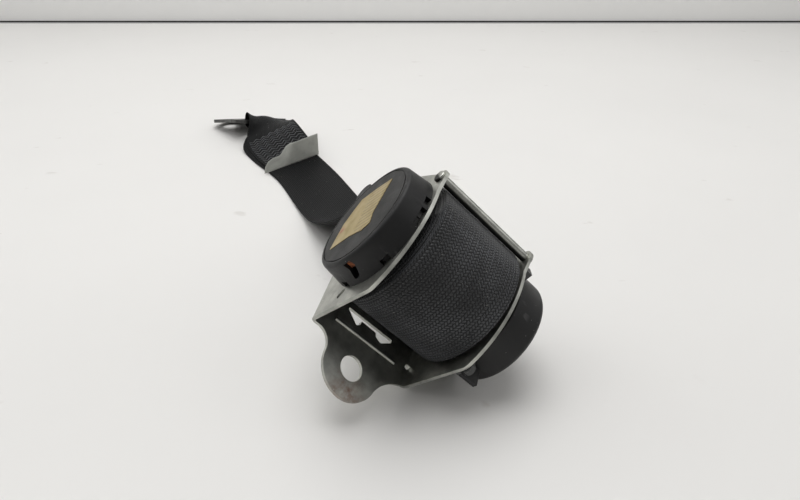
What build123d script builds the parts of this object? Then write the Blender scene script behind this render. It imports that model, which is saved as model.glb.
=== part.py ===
from build123d import *
import os
from math import atan2, cos, degrees, hypot, radians, sin, tan

# A rear seat belt: an emergency-locking reel in a folded steel bracket, with its free webbing and end plate.
# Every reel piece is drawn in the reel's own frame: X along the spool axis from the spring side to the lock
# side, Y from the spool towards the mounting plate, Z from the mounting tab towards the webbing exit.
# The reel is then laid down on its lock cover and one bracket corner, as a removed reel lies on a table.

# Fits and gaps
running_gap = 0.05
face_gap = 0.3
seat_gap = 0.1

# Webbing
web_width = 47.0
web_thick = 1.1
pack_radius = 31.0
core_radius = 17.0

# Bracket
plate_thick = 1.6
roll_side_gap = 2.9
mount_plate_y = 32.5
foot_z = -34.1
side_top_z = 33.0
mount_plate_top_z = 29.0
front_reach = 34.0
bend_radius = 1.2
tab_hole_radius = 5.75
tab_radius = 14.6
tab_x = -1.6
tab_z = -42.4
tab_round_room = 1.2
tab_web_start = -12.0
wing_end_round = 4.0
tie_lug_wall = 1.5
relief_radius = 1.3
relief_rise = 2.7

# Tie bar
tie_radius = 2.2
tie_y = -28.6
tie_z = 17.2
tie_neck_radius = 1.6
tie_head_radius = 2.8
tie_head_thick = 1.2

# Low slot with slanted ends and a tongue in the mounting plate, and the bead below it
window_corners = ((-13.8, -17.3), (-13.8, -18.2), (-7.2, -22.8), (-5.4, -21.4), (-5.4, -19.3), (3.4, -19.5),
                  (4.2, -21.4), (7.6, -22.6), (12.8, -19.0), (12.8, -17.3))
window_round = 0.5
bead_length = 35.6
bead_radius = 0.9
bead_z = -26.7

# Oval hole in the spring-side wing
oval_place = (15.2, -28.0)
oval_length = 5.0
oval_width = 2.4

# Shaft, spool and bush
shaft_radius = 4.0
shaft_flat_depth = 0.8
shaft_right_reach = 2.7
flange_radius = 20.0
flange_thick = 1.2
web_pin_radius = 1.9
bush_radius = 8.5
right_bush_radius = 6.5
bush_flange_radius = 11.0
bush_flange_thick = 1.0

# Spring cassette
cassette_radius = 26.8
cassette_wall = 1.6
cassette_depth = 11.9
cassette_round = 1.8
cassette_draft = 1.6
cassette_plate_thick = 1.6
arbor_radius = 7.0
spring_strip = 0.45
spring_pitch = 1.5
spring_turns = 9
side_window_corners = ((0.0, -2.6), (2.3, -3.3), (5.3, -2.2), (7.1, -1.1), (7.8, 0.5), (7.8, 2.0), (7.1, 2.2),
                       (5.6, 1.6), (3.2, 0.8), (0.4, 1.5))
spring_hook_wide = 3.2
spring_hook_long = 3.1
spring_hook_y = 0.6
spring_hook_rise = 0.7
push_pin_radius = 1.6
push_pin_head_radius = 2.6
push_pin_angles = (80, 200, 320)
push_pin_head = 1.2
snap_angles = (179, 192, 200, 241, 293, 20, 110)
snap_half = 1.6
cover_groove = 0.4
cover_groove_inset = 2.4
cover_label_thick = 0.2
cover_label_outline = ((-11.8, 15.7), (-8.0, -3.5), (-9.3, -10.4), (-4.8, -12.5), (4.1, -10.7), (17.2, -11.7),
                       (16.5, -3.6), (15.7, 3.2), (12.2, 10.0), (8.7, 15.5), (-1.6, 16.2))
lobe_radius = 5.0
lobe_angle = 62
lobe_drop = 0.5

# Lock side
ratchet_teeth = 30
ratchet_gap = 1.0
ratchet_tooth = 2.3
locking_base_radius = 20.7
locking_base_thick = 4.2
spring_pocket_y = -10.0
pawl_width = 9.0
pawl_thick = 2.6
pawl_inner_y = 9.6
pawl_travel = 2.2
pawl_pin_radius = 1.2
pawl_pin_y = 14.2
gear_plate_radius = 18.6
gear_thick = 2.2
gear_teeth = 24
gear_tip_radius = 12.6
gear_root_radius = 11.4
gear_ring_thick = 2.4
gear_lag = 15.0
flywheel_radius = 11.0
flywheel_thick = 2.6

# Lock cover and its housing ring
lock_cover_radius = 26.75
lock_cover_wall = 1.6
lock_cover_depth = 18.4
lock_cover_round = 3.0
housing_thick = 1.8
housing_wall = 0.65
ear_radius = 3.6
ear_angles = (73.9, 14.5)
ear_gap = 0.2
knob_place = (-29.5, 11.8)
knob_reach = 31.6
knob_half = 2.4
lug_place = (-5.8, -33.6)
lug_half = 2.6

# Rib under the lock cover
rib_reach = 34.2
rib_left_y = -1.0
rib_right_y = 1.5
rib_end_reach = 11.85

# Tilt sensor below the lock gear's teeth
ball_radius = 4.0
ball_z = -19.2
ball_travel = 1.5
cone_slope = 20.0
sensor_wall = 1.2
lever_thick = 1.0
lever_pin_radius = 0.8
lever_pin_y = 8.2
lever_pin_z = -16.6
lever_tip_width = 0.7

# End anchor plate, in its own frame: X along the webbing slot, Y towards the bolt hole
anchor_thick = 3.0
anchor_hole_radius = 5.75
anchor_bar = 5.0
anchor_slot = 8.0
anchor_slot_play = 2.0
anchor_rail = 4.0
anchor_hole_y = 46.0
anchor_tip_radius = 14.5
anchor_fold_y = 17.0
anchor_fold = -3.0
anchor_place = (-141.0, 333.5, 10.9)
anchor_heading = 60.0
anchor_bank = 14.0
exit_gap = 0.2
loop_gap = 0.3
loop_narrowing = 1.0

# Fabric label that stands on the strap where the sewn end begins
label_inset = 0.5
label_thick = 0.4
label_foot = (-100.2, 244.0, 5.0, 28.0, -5.0)
label_head = (-99.8, 249.0, 15.0, 31.0, -23.0)

# How the reel lies: the spool axis tilted down to the lock side, the reel rolled back about it
axis_tilt = 45.0
roll = -67.5

# Places along the spool axis that several pieces share
inner_x = web_width / 2 + roll_side_gap
outer_x = inner_x + plate_thick
mount_outer_y = mount_plate_y + plate_thick
flange_outer_x = web_width / 2 + face_gap + flange_thick
locking_base_left = flange_outer_x + 2 * seat_gap
locking_base_right = locking_base_left + locking_base_thick
pawl_left = locking_base_right - pawl_thick - 0.3
gear_left = locking_base_right + 0.6
gear_right = gear_left + gear_thick
gear_ring_right = gear_right + gear_ring_thick
flywheel_left = gear_ring_right + 0.6
flywheel_right = flywheel_left + flywheel_thick
lock_cover_left = outer_x + face_gap + housing_thick + seat_gap
lock_cover_right = outer_x + face_gap + lock_cover_depth
cassette_left = -(outer_x + cassette_depth)
cassette_plate_left = -(outer_x + face_gap + cassette_plate_thick)
spring_left = cassette_left + cassette_wall + face_gap
spring_right = cassette_plate_left - push_pin_head - face_gap
shaft_right_x = flywheel_right + shaft_right_reach
ball_x = gear_ring_right + ball_radius
rib_end_x = outer_x + rib_end_reach
housing_outer_radius = lock_cover_radius - lock_cover_wall - seat_gap
housing_inner_radius = housing_outer_radius - housing_wall
cassette_foot_radius = cassette_radius + cassette_draft
cassette_inner_radius = cassette_radius - cassette_wall
push_pin_circle = cassette_inner_radius - push_pin_head_radius
ear_circle = lock_cover_radius + ear_gap + ear_radius
ratchet_tip_radius = locking_base_radius + ratchet_gap
ratchet_root_radius = ratchet_tip_radius + ratchet_tooth
anchor_slot_length = web_width + anchor_slot_play
loop_width = web_width - loop_narrowing
label_width = web_width - 2 * label_inset


def disc(radius, x0, x1, y=0.0, z=0.0):
    """Round bar along the spool axis from x0 to x1."""
    return extrude(Plane.YZ.offset(x0) * Pos(y, z) * Circle(radius), amount=x1 - x0)


def ring(outer, inner, x0, x1):
    """Round tube along the spool axis."""
    return disc(outer, x0, x1) - disc(inner, x0, x1)


def plate_yz(sketch, x0, x1):
    """Flat sketch in the reel's side view, as thick as x0 to x1."""
    return extrude(Plane.YZ.offset(x0) * sketch, amount=x1 - x0)


def block(x0, x1, y0, y1, z0, z1):
    """Box between two corners."""
    return Pos((x0 + x1) / 2, (y0 + y1) / 2, (z0 + z1) / 2) * Box(abs(x1 - x0), abs(y1 - y0), abs(z1 - z0))


def on_circle(radius, angle):
    """Point of a circle in the side view, with the angle counted from the mounting plate."""
    return radius * cos(radians(angle)), radius * sin(radians(angle))


def ear_places():
    """Centres of the lock housing's two ears in the side view."""
    return [on_circle(ear_circle, angle) for angle in ear_angles]


def saw_tooth_outline(teeth, tip, root, land, steep, rise):
    """Closed ring of saw teeth, each with a flat land, a steep face and a ramp, in shares of the pitch."""
    pitch = 360 / teeth
    points = []
    for k in range(teeth):
        start = k * pitch
        points.append(on_circle(root, start - land * pitch / 2))
        points.append(on_circle(root, start + land * pitch / 2))
        points.append(on_circle(tip, start + (land / 2 + rise) * pitch))
        points.append(on_circle(tip, start + (1 - land / 2 - steep) * pitch))
    return make_face(Polyline(*points, close=True))


# Bracket

def side_plate_sketch():
    """Side view of one bracket wing: a straight foot, a round front and a lug for the tie bar."""
    foot_front = (-6.5, foot_z - 1.0)
    front_mid = (-21.5, -20.5)
    front_top = (tie_y - 1.1, tie_z - 9.0)
    lug = (tie_y - tie_radius - tie_lug_wall + 0.1, tie_z)
    lug_top = (tie_y + 2.0, tie_z + tie_radius + tie_lug_wall - 0.3)
    top_front = (-7.0, side_top_z)
    top_back = (mount_outer_y, side_top_z)
    foot_back = (mount_outer_y, foot_z)
    outline = Line(foot_back, foot_front) + ThreePointArc(foot_front, front_mid, front_top)
    outline += Polyline(front_top, lug, lug_top, top_front, top_back, foot_back)
    wing = make_face(outline)
    rounded = [v for v in wing.vertices() if abs(v.X - foot_front[0]) < 0.1 or abs(v.X - top_front[0]) < 0.1]
    wing = fillet(rounded, wing_end_round)
    return wing + Pos(tie_y, tie_z) * Circle(tie_radius + tie_lug_wall)


def tab_sketch():
    """Front view of the mounting tab: a tight round on the left, a shallow web on the right."""
    flat_half = inner_x - bend_radius
    strip_high = 4.0
    strip = Pos(0, foot_z + strip_high / 2) * Rectangle(2 * flat_half, strip_high)
    neck_depth = foot_z - tab_z
    neck = Pos(tab_x, foot_z - neck_depth / 2) * Rectangle(2 * tab_radius, neck_depth)
    sketch = strip + neck
    at_foot = [v for v in sketch.vertices() if abs(v.Y - foot_z) < 0.01]
    left = [v for v in at_foot if abs(v.X - tab_x + tab_radius) < 0.01]
    sketch = fillet(left, flat_half + tab_x - tab_radius - tab_round_room)
    y, z = on_circle(tab_radius, tab_web_start)
    web_low = (tab_x + y, tab_z + z)
    web_high = (flat_half, foot_z - 0.2)
    web_mid = (web_low[0] + 0.3 * (web_high[0] - web_low[0]), web_low[1] + 0.52 * (web_high[1] - web_low[1]))
    edge = ThreePointArc(web_low, web_mid, web_high)
    inside = Polyline(web_high, (flat_half, foot_z + 1), (tab_x, foot_z + 1), (tab_x, tab_z + z), web_low)
    return sketch + make_face(edge + inside) + Pos(tab_x, tab_z) * Circle(tab_radius)


def window_sketch():
    """Low slot below the webbing roll, with slanted ends and a tongue between them."""
    opening = make_face(Polyline(*window_corners, close=True))
    return fillet(opening.vertices(), window_round)


def channel():
    """Straight U-shaped strip seen from above: two wings folded off the mounting plate."""
    front = -front_reach
    outer = Pos(0, (front + mount_outer_y) / 2) * Rectangle(2 * outer_x, mount_outer_y - front)
    inner = Pos(0, (front + mount_plate_y) / 2) * Rectangle(2 * inner_x, mount_plate_y - front)
    outer = fillet(outer.vertices().sort_by(Axis.Y)[-2:], bend_radius + plate_thick)
    inner = fillet(inner.vertices().sort_by(Axis.Y)[-2:], bend_radius)
    height = side_top_z - foot_z + 10
    return extrude(Plane.XY.offset(foot_z - 5) * (outer - inner), amount=height)


def make_bracket():
    """One folded steel plate: mounting plate with tab, two wings, ratchet hole and bush hole."""
    body = channel() & plate_yz(side_plate_sketch(), -outer_x, outer_x)
    flat_half = inner_x - bend_radius
    y0, y1 = mount_plate_y - 1, mount_outer_y + 1
    body -= block(-flat_half, flat_half, y0, y1, mount_plate_top_z, side_top_z + 1)
    wall = Plane.XZ.offset(-mount_outer_y)
    body += extrude(wall * tab_sketch(), amount=plate_thick)
    through = 3 * plate_thick
    body -= extrude(wall * window_sketch(), amount=through / 2, both=True)
    body -= extrude(wall * Pos(tab_x, tab_z) * Circle(tab_hole_radius), amount=through / 2, both=True)
    for side in (-1, 1):
        relief = Pos(side * (inner_x - bend_radius), bead_z + relief_rise) * Circle(relief_radius)
        body -= extrude(wall * relief, amount=through / 2, both=True)
        body -= disc(tie_neck_radius + running_gap, side * (inner_x - 1), side * (outer_x + 1), tie_y, tie_z)
    bead = Pos(0, mount_plate_y + 0.1, bead_z) * Rot(0, 90, 0)
    body += bead * Cylinder(bead_radius, bead_length)
    body -= block(-outer_x, outer_x, mount_outer_y, mount_outer_y + 2, bead_z - 2, bead_z + 2)
    body -= disc(bush_radius + running_gap, -outer_x - 1, -inner_x + 1)
    teeth = saw_tooth_outline(ratchet_teeth, ratchet_tip_radius, ratchet_root_radius, 0.18, 0.14, 0.58)
    body -= plate_yz(teeth, inner_x - 1, outer_x + 1)
    for angle in push_pin_angles:
        y, z = on_circle(push_pin_circle, angle)
        body -= disc(push_pin_radius + running_gap, -outer_x - 1, -inner_x + 1, y, z)
    for y, z in ear_places():
        body -= disc(push_pin_radius + running_gap, inner_x - 1, outer_x + 1, y, z)
    oval = Pos(*oval_place) * Rot(0, 0, -40) * SlotOverall(oval_length, oval_width)
    return body - plate_yz(oval, -outer_x - 1, -inner_x + 1)


def make_tie_bar():
    """Steel bar that holds the two wings apart, its necks upset over them."""
    bar = disc(tie_radius, -inner_x, inner_x, tie_y, tie_z)
    bar += disc(tie_neck_radius, -outer_x, outer_x, tie_y, tie_z)
    for side in (-1, 1):
        bar += disc(tie_head_radius, side * outer_x, side * (outer_x + tie_head_thick), tie_y, tie_z)
    end_x = outer_x + tie_head_thick - 0.01
    tips = [e for e in bar.edges().filter_by(GeomType.CIRCLE) if abs(e.center().X) > end_x]
    return fillet(tips, tie_head_thick * 0.6)


# Spool group

def make_spool():
    """Cast spool: core, two flanges, shaft bore and the slot that the webbing's inner end goes into."""
    half = flange_outer_x - flange_thick
    body = disc(core_radius, -half, half)
    for side in (-1, 1):
        body += disc(flange_radius, side * half, side * (half + flange_thick))
    body -= disc(shaft_radius, -half - flange_thick - 1, half + flange_thick + 1)
    slot_floor = core_radius - 8.0
    body -= block(-half + 0.1, half - 0.1, -1.6, 1.6, slot_floor, core_radius + 1)
    return body - disc(web_pin_radius + 0.3, -half + 0.1, half - 0.1, 0, slot_floor)


def make_webbing_pin():
    """Steel pin in the webbing's inner end loop."""
    return disc(web_pin_radius, -web_width / 2, web_width / 2, 0, core_radius - 8.0)


def make_webbing_pack():
    """Wound webbing on the core."""
    return ring(pack_radius, core_radius + seat_gap / 2, -web_width / 2, web_width / 2)


def shaft_flats(x0, x1):
    """The two slices that the shaft's flats take off, on both sides."""
    beyond = shaft_radius + 1
    slices = Part()
    for side in (-1, 1):
        slices += block(x0, x1, side * (shaft_radius - shaft_flat_depth), side * beyond, -beyond, beyond)
    return slices


def make_spool_shaft():
    """Steel shaft right through the reel, flattened at the spring end for the arbor."""
    shaft = disc(shaft_radius, spring_left, shaft_right_x)
    return shaft - shaft_flats(spring_left - 1, cassette_plate_left - 0.5)


def make_left_bush():
    """Plastic bush in the spring-side wing."""
    bush = ring(bush_radius, shaft_radius + running_gap, -outer_x, -inner_x)
    flange_x = -outer_x - bush_flange_thick
    return bush + ring(bush_flange_radius, shaft_radius + running_gap, flange_x, -outer_x)


# Spring cassette

def make_cassette_plate():
    """Inner wall of the spring cassette, with snap tabs that catch the cover."""
    left = cassette_plate_left
    plate = ring(cassette_inner_radius - seat_gap, bush_flange_radius + face_gap, left, -outer_x)
    for angle in push_pin_angles:
        y, z = on_circle(push_pin_circle, angle)
        plate -= disc(push_pin_radius + running_gap, left - 1, -outer_x + 1, y, z)
    for angle in snap_angles:
        low = cassette_inner_radius - 1.0
        tab = block(left, -outer_x - 0.2, low, cassette_radius - 0.5, -snap_half, snap_half)
        plate += Rot(angle, 0, 0) * tab
    return plate


def make_spring_cover():
    """Round cover over the power spring, wider at the wing, with snap windows and a side window."""
    profile = Polyline((cassette_left, 0), (cassette_left, cassette_radius), (-outer_x, cassette_foot_radius),
                       (-outer_x, 0), close=True)
    body = revolve(Plane.XY * make_face(profile), axis=Axis.X)
    rim = [e for e in body.edges().filter_by(GeomType.CIRCLE) if e.center().X < cassette_left + 0.01]
    body = fillet(rim, cassette_round)
    body -= disc(cassette_inner_radius, cassette_left + cassette_wall, -outer_x + 1)
    lobe_y, lobe_z = on_circle(cassette_radius + 0.4, lobe_angle)
    lobe = disc(lobe_radius, cassette_left + lobe_drop, -outer_x, lobe_y, lobe_z)
    body += lobe - disc(cassette_radius - 0.2, cassette_left, -outer_x)
    groove_radius = cassette_radius - cover_groove_inset
    body -= ring(groove_radius + 0.4, groove_radius - 0.2, cassette_left - 0.1, cassette_left + cover_groove)
    opening = Polyline(*[(spring_left - face_gap + x, y) for x, y in side_window_corners], close=True)
    body -= extrude(Plane.XY.offset(-cassette_foot_radius - 1) * make_face(opening), amount=cassette_wall + 6)
    for angle in snap_angles:
        half = snap_half + 0.6
        low = cassette_inner_radius - 1.5
        gap = block(cassette_plate_left - 0.8, -outer_x + 1, low, cassette_foot_radius + 1, -half, half)
        body -= Rot(angle, 0, 0) * gap
    return body


def make_spiral_spring():
    """Flat power spring wound from half rings, its outer end hooked out into the side window."""
    first = arbor_radius + face_gap + spring_strip / 2
    half_pitch = spring_pitch / 2
    coil = None
    for k in range(2 * spring_turns):
        upper = k % 2 == 0
        radius = first + k * half_pitch
        centre_y = 0.0 if upper else -half_pitch
        side = 1 if upper else -1
        outer = radius + spring_strip / 2
        inner = radius - spring_strip / 2
        half = Circle(outer) - Circle(inner)
        keep = Pos(0, side * outer) * Rectangle(2 * outer + 2, 2 * outer)
        turn = Pos(centre_y, 0) * (half & keep)
        coil = turn if coil is None else coil + turn
    last = first + (2 * spring_turns - 1) * half_pitch
    hook_left = spring_left + 0.2
    hook_right = hook_left + spring_hook_wide
    reach = cassette_inner_radius + spring_hook_rise
    root = block(hook_left, hook_right, spring_hook_y - spring_strip, spring_hook_y, -reach, -last + 0.2)
    hook = block(hook_left, hook_right, spring_hook_y - spring_hook_long, spring_hook_y, -reach, -reach + spring_strip)
    return plate_yz(coil, spring_left, spring_right) + root + hook


def make_arbor():
    """Plastic hub on the shaft's flats that the spring's inner end grips."""
    hub = disc(arbor_radius, spring_left, cassette_plate_left - 0.8)
    bore = disc(shaft_radius, spring_left - 1, cassette_plate_left)
    return hub - (bore - shaft_flats(spring_left - 2, cassette_plate_left + 1))


def make_push_pins(places, plate_side):
    """Plastic pins through the wing on that side, each with a head on the outside."""
    pins = []
    held = cassette_plate_left if plate_side < 0 else outer_x + face_gap + housing_thick
    head_end = held + plate_side * push_pin_head
    tip = plate_side * (inner_x - 0.5)
    for y, z in places:
        head = disc(push_pin_head_radius, min(held, head_end), max(held, head_end), y, z)
        pins.append(head + disc(push_pin_radius, min(tip, held), max(tip, held), y, z))
    return Part() + pins


def make_cover_label():
    """Bare stick-on label on the spring cover's face."""
    outline = Polyline(*cover_label_outline, close=True)
    return plate_yz(make_face(outline), cassette_left - cover_label_thick, cassette_left)


# Lock side

def pawl_slot():
    """Guide slot in the locking base, open to the rim."""
    z = pawl_width / 2 + 0.15
    return block(pawl_left - 0.15, locking_base_right + 1, pawl_inner_y - 0.4, locking_base_radius + 3, -z, z)


def make_locking_base():
    """Cast disc on the spool's end inside the ratchet hole, which carries the lock pawl."""
    body = ring(locking_base_radius, shaft_radius, locking_base_left, locking_base_right) - pawl_slot()
    half_wide, half_long = 1.7, 6.0
    y0, y1 = spring_pocket_y - half_wide, spring_pocket_y + half_wide
    return body - block(locking_base_right - 3.0, locking_base_right + 1, y0, y1, -half_long, half_long)


def make_lock_pawl():
    """Sliding steel pawl with one saw tooth and a guide pin; it slides out into the ratchet hole."""
    half = pawl_width / 2
    tip_y = ratchet_tip_radius - 1.0
    shoulder = tip_y - 2.2
    corners = [(pawl_inner_y, -half), (shoulder, -half), (shoulder, -1.2), (tip_y, -0.3), (tip_y, 0.3),
               (shoulder, 2.6), (shoulder, half), (pawl_inner_y, half)]
    pawl = plate_yz(make_face(Polyline(*corners, close=True)), pawl_left, pawl_left + pawl_thick)
    return pawl + disc(pawl_pin_radius, pawl_left + pawl_thick - 0.5, gear_right - seat_gap, pawl_pin_y, 0)


def make_lock_gear():
    """Plastic disc that turns with the spool; its cam slot drives the pawl out as it lags."""
    gear = disc(gear_plate_radius, gear_left, gear_right)
    teeth = saw_tooth_outline(gear_teeth, gear_tip_radius, gear_root_radius, 0.3, 0.1, 0.5)
    gear += plate_yz(teeth, gear_right, gear_ring_right)
    gear -= disc(shaft_radius + running_gap, gear_left - 1, gear_ring_right + 1)
    steps = 10
    for k in range(steps + 1):
        share = k / steps
        y, z = on_circle(pawl_pin_y + share * pawl_travel, -share * gear_lag)
        gear -= disc(pawl_pin_radius + face_gap, gear_left - 1, gear_right + 1, y, z)
    return gear


def make_gear_spring():
    """Small coil spring that turns the lock gear back."""
    wire, coil_radius, pitch, length = 0.22, 1.1, 1.3, 9.0
    centre = Pos(locking_base_right - 1.6, spring_pocket_y, -length / 2)
    helix = centre * Helix(pitch, length, coil_radius)
    start = Plane(helix @ 0, z_dir=helix % 0)
    return sweep(start * Circle(wire), path=helix, is_frenet=True)


def make_flywheel():
    """Steel disc that lags when the webbing is pulled fast."""
    body = ring(flywheel_radius, shaft_radius + running_gap, flywheel_left, flywheel_right)
    for angle in (30, 150, 270):
        y, z = on_circle(9.5, angle)
        body -= disc(2.4, flywheel_left - 1, flywheel_right + 1, y, z)
    return body


def make_lock_housing():
    """Plastic ring between the wing and the lock cover, with two ears, a clip knob and a foot lug."""
    x0 = outer_x + face_gap
    x1 = x0 + housing_thick
    body = ring(housing_outer_radius, housing_inner_radius, x0, x1)
    for y, z in ear_places():
        arm_angle = degrees(atan2(z, y))
        reach = hypot(y, z)
        arm = block(x0, x1, housing_inner_radius + 0.2, reach, -ear_radius, ear_radius)
        body += Rot(arm_angle, 0, 0) * arm
        body += disc(ear_radius, x0, x1, y, z)
    knob_angle = degrees(atan2(*reversed(knob_place)))
    knob = block(x0, x1, housing_inner_radius + 0.2, knob_reach, -knob_half, knob_half)
    body += Rot(knob_angle, 0, 0) * knob
    raised = block(x0, x1 + 1.2, lock_cover_radius + face_gap, knob_reach, -knob_half, knob_half)
    body += Rot(knob_angle, 0, 0) * raised
    lug_angle = degrees(atan2(*reversed(lug_place)))
    lug_reach = hypot(*lug_place)
    lug = block(x0, x1, housing_inner_radius + 0.2, lug_reach, -lug_half, lug_half)
    body += Rot(lug_angle, 0, 0) * lug
    body += disc(lug_half, x0, x1 + 0.6, *lug_place)
    for y, z in ear_places():
        body -= disc(push_pin_radius + running_gap, x0 - 1, x1 + 1, y, z)
    return body + block(x0, x1, rib_left_y, rib_right_y, -rib_reach, -housing_inner_radius - 0.2)


def make_lock_cover():
    """Smooth deep cup over the lock mechanism."""
    body = disc(lock_cover_radius, lock_cover_left, lock_cover_right)
    rim = [e for e in body.edges().filter_by(GeomType.CIRCLE) if e.center().X > lock_cover_right - 0.01]
    body = fillet(rim, lock_cover_round)
    body -= disc(lock_cover_radius - lock_cover_wall, lock_cover_left - 1, lock_cover_right - lock_cover_wall)
    boss = right_bush_radius + 2.5
    wall_x = lock_cover_right - lock_cover_wall
    body += ring(boss, right_bush_radius + running_gap, flywheel_right + 1.2, wall_x)
    wall_top = -(lock_cover_radius - lock_cover_wall / 2)
    return body + block(lock_cover_left, rib_end_x, rib_left_y, rib_right_y, -rib_reach, wall_top)


def make_right_bush():
    """Plastic bush in the lock cover's boss, which carries the shaft's end."""
    end_x = lock_cover_right - lock_cover_wall - seat_gap
    return ring(right_bush_radius, shaft_radius + running_gap, flywheel_right + 0.5, end_x)


def lever_pin_bar(radius, x0, x1):
    """Round bar on the sensor lever's pivot axis."""
    return disc(radius, x0, x1, lever_pin_y, lever_pin_z)


def make_sensor_housing():
    """Small box under the gear's teeth, with a cone seat for the ball and two cheeks for the lever pin."""
    wide = ball_radius + ball_travel + 0.4
    x0 = ball_x - ball_radius - 0.5
    x1 = ball_x + ball_radius + 0.5
    low = ball_z - ball_radius - sensor_wall - 0.8
    top = ball_z + ball_radius - 1.0
    body = block(x0 - sensor_wall, x1 + sensor_wall * 0.6, -wide - sensor_wall, lever_pin_y + 2.0, low, top)
    body &= disc(lock_cover_radius - lock_cover_wall - face_gap, x0 - 5, x1 + 5)
    seat_low = ball_z - ball_radius / cos(radians(cone_slope))
    rise = wide * tan(radians(cone_slope))
    bowl = Pos(ball_x, 0, seat_low + rise / 2) * Cone(0.01, wide, rise)
    height = 3 * ball_radius
    bowl += Pos(ball_x, 0, seat_low + rise + height / 2) * Cylinder(wide, height)
    body -= bowl & block(x0, x1, -wide - 1, wide + 1, seat_low - 1, seat_low + rise + height)
    body -= block(x0, x1, wide - 1, lever_pin_y + 3, lever_pin_z - 2.4, ball_z + ball_radius)
    return body - lever_pin_bar(lever_pin_radius + running_gap, x0 - 5, x1 + 5)


def make_sensor_ball():
    """Steel ball in the cone seat."""
    return Pos(ball_x, 0, ball_z + seat_gap) * Sphere(ball_radius)


def make_sensor_lever():
    """Plastic lever that lies on the ball; its tip lifts into the lock gear's teeth."""
    floor = ball_z + ball_radius + seat_gap + 0.2
    x0 = gear_right + 0.3
    x1 = ball_x + 2.0
    arm = block(x0, x1, -2.0, lever_pin_y, floor, floor + lever_thick)
    hub_left = ball_x - ball_radius
    arm += block(hub_left, x1, lever_pin_y - 1.5, lever_pin_y, lever_pin_z, floor + lever_thick)
    arm += lever_pin_bar(1.5, hub_left, x1)
    arm -= lever_pin_bar(lever_pin_radius + running_gap, hub_left - 5, x1 + 5)
    tip_y = -0.5
    half = lever_tip_width / 2
    return arm + block(x0, gear_ring_right - 0.1, tip_y - half, tip_y + half, floor, -gear_tip_radius - 0.4)


def make_lever_pin():
    """Steel pivot pin of the sensor lever."""
    return lever_pin_bar(lever_pin_radius, ball_x - ball_radius - 1.4, ball_x + ball_radius + 1.0)


# Free webbing

reel_turn = Rot(0, axis_tilt, 0) * Rot(roll, 0, 0)


def reel_height():
    """Height of the spool centre when the lock cover's rim just meets the table."""
    rim = lock_cover_right - lock_cover_round
    ring_radius = lock_cover_radius - lock_cover_round
    tilt = radians(axis_tilt)
    return rim * sin(tilt) + ring_radius * cos(tilt) + lock_cover_round


lie = Pos(0, 0, reel_height()) * reel_turn

# Centre of the strap (x, y, z), heading of its width and bank, from just past the reel to the sewn end
strap_route = [
    (-22, 80, 28.5, 8, 38),
    (-35, 106, 15.5, 15, 24),
    (-48, 133, 6.4, 21, 10),
    (-60.5, 162, 1.7, 23, 1.5),
    (-73.5, 195.5, 0.7, 23.6, 0),
    (-86.5, 226, 0.7, 24.5, 0),
]
# The same for the sewn end, where the webbing lies double
sewn_route = [
    (-100, 250, 2.6, 28, -3),
    (-111, 269, 6.4, 30, -12),
    (-121, 287, 9.4, 30, -18),
    (-128, 302, 11.3, 34, -17),
    (-131, 315, 11.8, 44, -8),
    (-132, 326, 11.2, 54, 5),
]
exit_bend_radius = 22.0
exit_bend = 50.0


def exit_stations():
    """Cross-sections from the webbing roll's tangent point out past the mounting plate's edge."""
    y = pack_radius + exit_gap + web_thick / 2
    z_end = mount_plate_top_z + 4.0
    places = [(y, 2.0, 0.0), (y, z_end, 0.0)]
    for share in (0.5, 1.0):
        turn = radians(share * exit_bend)
        places.append((y + exit_bend_radius * (1 - cos(turn)), z_end + exit_bend_radius * sin(turn), turn))
    stations = []
    for y, z, turn in places:
        x_dir = Vector(1, 0, 0)
        ahead = Vector(0, sin(turn), cos(turn))
        stations.append(lie * Location(Plane(origin=(0, y, z), x_dir=x_dir, z_dir=ahead)))
    return stations


def station(x, y, z, heading, bank, ahead):
    """Cross-section whose width lies along its heading and bank, facing as near ahead as that allows."""
    h, b = radians(heading), radians(bank)
    across = Vector(cos(h) * cos(b), sin(h) * cos(b), -sin(b))
    level = ahead - across * ahead.dot(across)
    return Location(Plane(origin=(x, y, z), x_dir=across, z_dir=level))


def route_stations(route):
    """Cross-sections over the table, from a hand-chosen route."""
    stations = []
    last = len(route) - 1
    for k, row in enumerate(route):
        before = Vector(*route[max(k - 1, 0)][:3])
        after = Vector(*route[min(k + 1, last)][:3])
        stations.append(station(*row, after - before))
    return stations


def anchor_location():
    """Place of the end anchor plate: origin on the bar's axis, X along the slot, Z up from the plate."""
    h, b = radians(anchor_heading), radians(anchor_bank)
    across = Vector(cos(h) * cos(b), sin(h) * cos(b), -sin(b))
    towards_hole = Vector(-sin(h), cos(h), -0.12)
    return Location(Plane(origin=anchor_place, x_dir=across, z_dir=across.cross(towards_hole)))


def bar_swing_radius():
    """Radius that the bar's corners reach as the plate swings."""
    return hypot(anchor_bar, anchor_thick) / 2


def make_webbing_strap():
    """Free webbing: out past the mounting plate, down to the table, then the sewn end with its loop."""
    single = exit_stations() + route_stations(strap_route)
    double = route_stations(sewn_route)
    sections = [place * Rectangle(web_width, web_thick) for place in single]
    sections += [place * Pos(0, -web_thick / 2) * Rectangle(web_width, 2 * web_thick) for place in double]
    inner = bar_swing_radius() + loop_gap
    loop_place = anchor_location()
    middle = inner + web_thick / 2
    sections.append(loop_place * Pos(0, -middle, 0) * Rot(-90, 0, 0) * Rectangle(loop_width, web_thick))
    strip = loft(sections, ruled=True)
    bar_axis = loop_place * Rot(0, 90, 0)
    loop = Cylinder(inner + web_thick, loop_width) - Cylinder(inner, loop_width)
    return strip - bar_axis * Cylinder(inner, loop_width + 10) + bar_axis * loop


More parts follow.
